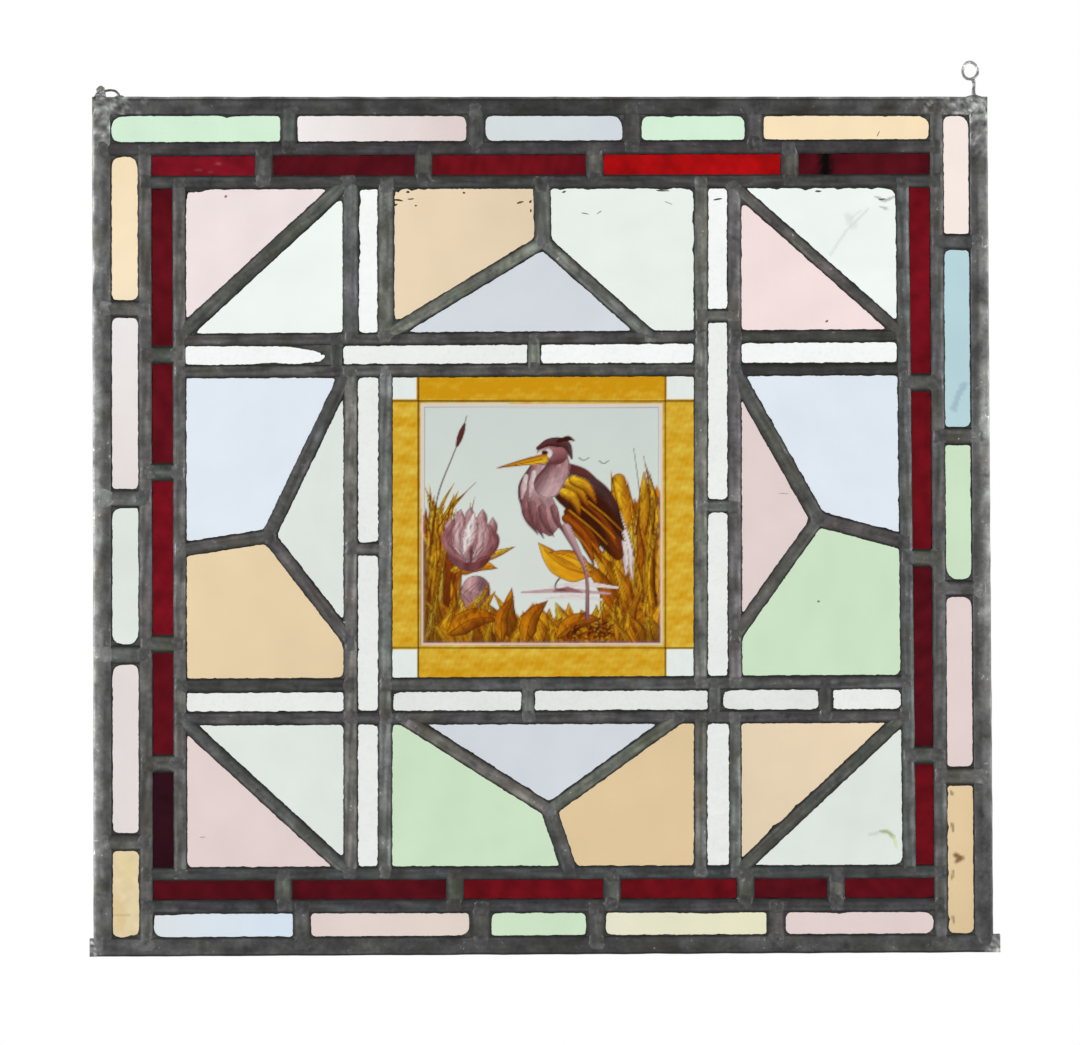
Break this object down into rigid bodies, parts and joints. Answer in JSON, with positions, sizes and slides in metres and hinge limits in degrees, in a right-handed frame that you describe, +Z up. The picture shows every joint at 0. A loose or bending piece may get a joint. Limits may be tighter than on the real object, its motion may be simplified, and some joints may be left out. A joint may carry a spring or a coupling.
{
  "type": "stained glass window",
  "caption": "Small rectangular leaded glass panel: pale coloured and ruby glass in lead cames round a painted, yellow-stained quarry, with a lead border and wire hanging eyes.",
  "frame": {"origin": "middle of the top edge between the two hanging eyes, half way through the panel's thickness", "axes": "+X along the top edge to the right as seen from the front, +Y away from the viewer through the panel's back, +Z up; the painted front faces -Y"},
  "size_m": [0.455, 0.006, 0.4479],
  "materials": {
    "lead_came": "dull grey lead, mottled, with brighter solder at the joints",
    "eye_wire": "dull tinned wire in solder",
    "ruby_glass": "deep ruby glass, slightly uneven in tone",
    "clear_glass": "clear, faintly grey-green, slightly wavy",
    "green_glass": "pale green",
    "pink_glass": "pale pink",
    "blue_glass": "pale lavender blue",
    "sky_blue_glass": "light sky blue",
    "amber_glass": "pale amber",
    "yellow_glass": "pale yellow green",
    "painted_glass": "clear glass with yellow stain and brown paint, fired on"
  },
  "bodies": {
    "root": {"border_came_bottom": "lead_came", "border_came_left": "lead_came", "border_came_right": "lead_came", "border_came_top": "lead_came", "border_glass_bottom_1": "blue_glass", "border_glass_bottom_2": "pink_glass", "border_glass_bottom_3": "green_glass", "border_glass_bottom_4": "yellow_glass", "border_glass_bottom_5": "pink_glass", "border_glass_left_1": "amber_glass", "border_glass_left_2": "pink_glass", "border_glass_left_3": "blue_glass", "border_glass_left_4": "pink_glass", "border_glass_left_5": "amber_glass", "border_glass_right_1": "pink_glass", "border_glass_right_2": "sky_blue_glass", "border_glass_right_3": "green_glass", "border_glass_right_4": "pink_glass", "border_glass_right_5": "amber_glass", "border_glass_top_1": "green_glass", "border_glass_top_2": "pink_glass", "border_glass_top_3": "blue_glass", "border_glass_top_4": "green_glass", "border_glass_top_5": "amber_glass", "corner_glass_bottom_left_clear": "clear_glass", "corner_glass_bottom_left_pink": "pink_glass", "corner_glass_bottom_right_amber": "amber_glass", "corner_glass_bottom_right_clear": "clear_glass", "corner_glass_top_left_clear": "clear_glass", "corner_glass_top_left_pink": "pink_glass", "corner_glass_top_right_clear": "clear_glass", "corner_glass_top_right_pink": "pink_glass", "field_glass_bottom_amber": "amber_glass", "field_glass_bottom_blue": "blue_glass", "field_glass_bottom_green": "green_glass", "field_glass_left_amber": "amber_glass", "field_glass_left_blue": "blue_glass", "field_glass_left_clear": "clear_glass", "field_glass_right_blue": "blue_glass", "field_glass_right_green": "green_glass", "field_glass_right_pink": "pink_glass", "field_glass_top_amber": "amber_glass", "field_glass_top_blue": "blue_glass", "field_glass_top_clear": "clear_glass", "fillet_glass_column_left_lower": "clear_glass", "fillet_glass_column_left_upper": "clear_glass", "fillet_glass_column_right_lower": "clear_glass", "fillet_glass_column_right_upper": "clear_glass", "fillet_glass_row_bottom_left": "clear_glass", "fillet_glass_row_bottom_right": "clear_glass", "fillet_glass_row_top_left": "clear_glass", "fillet_glass_row_top_right": "clear_glass", "hanging_eye_left": "eye_wire", "hanging_eye_right": "eye_wire", "lead_lattice": "lead_came", "painted_quarry": "painted_glass", "ruby_glass_bottom": "ruby_glass", "ruby_glass_left": "ruby_glass", "ruby_glass_right": "ruby_glass", "ruby_glass_top": "ruby_glass"}
  },
  "joints": []
}
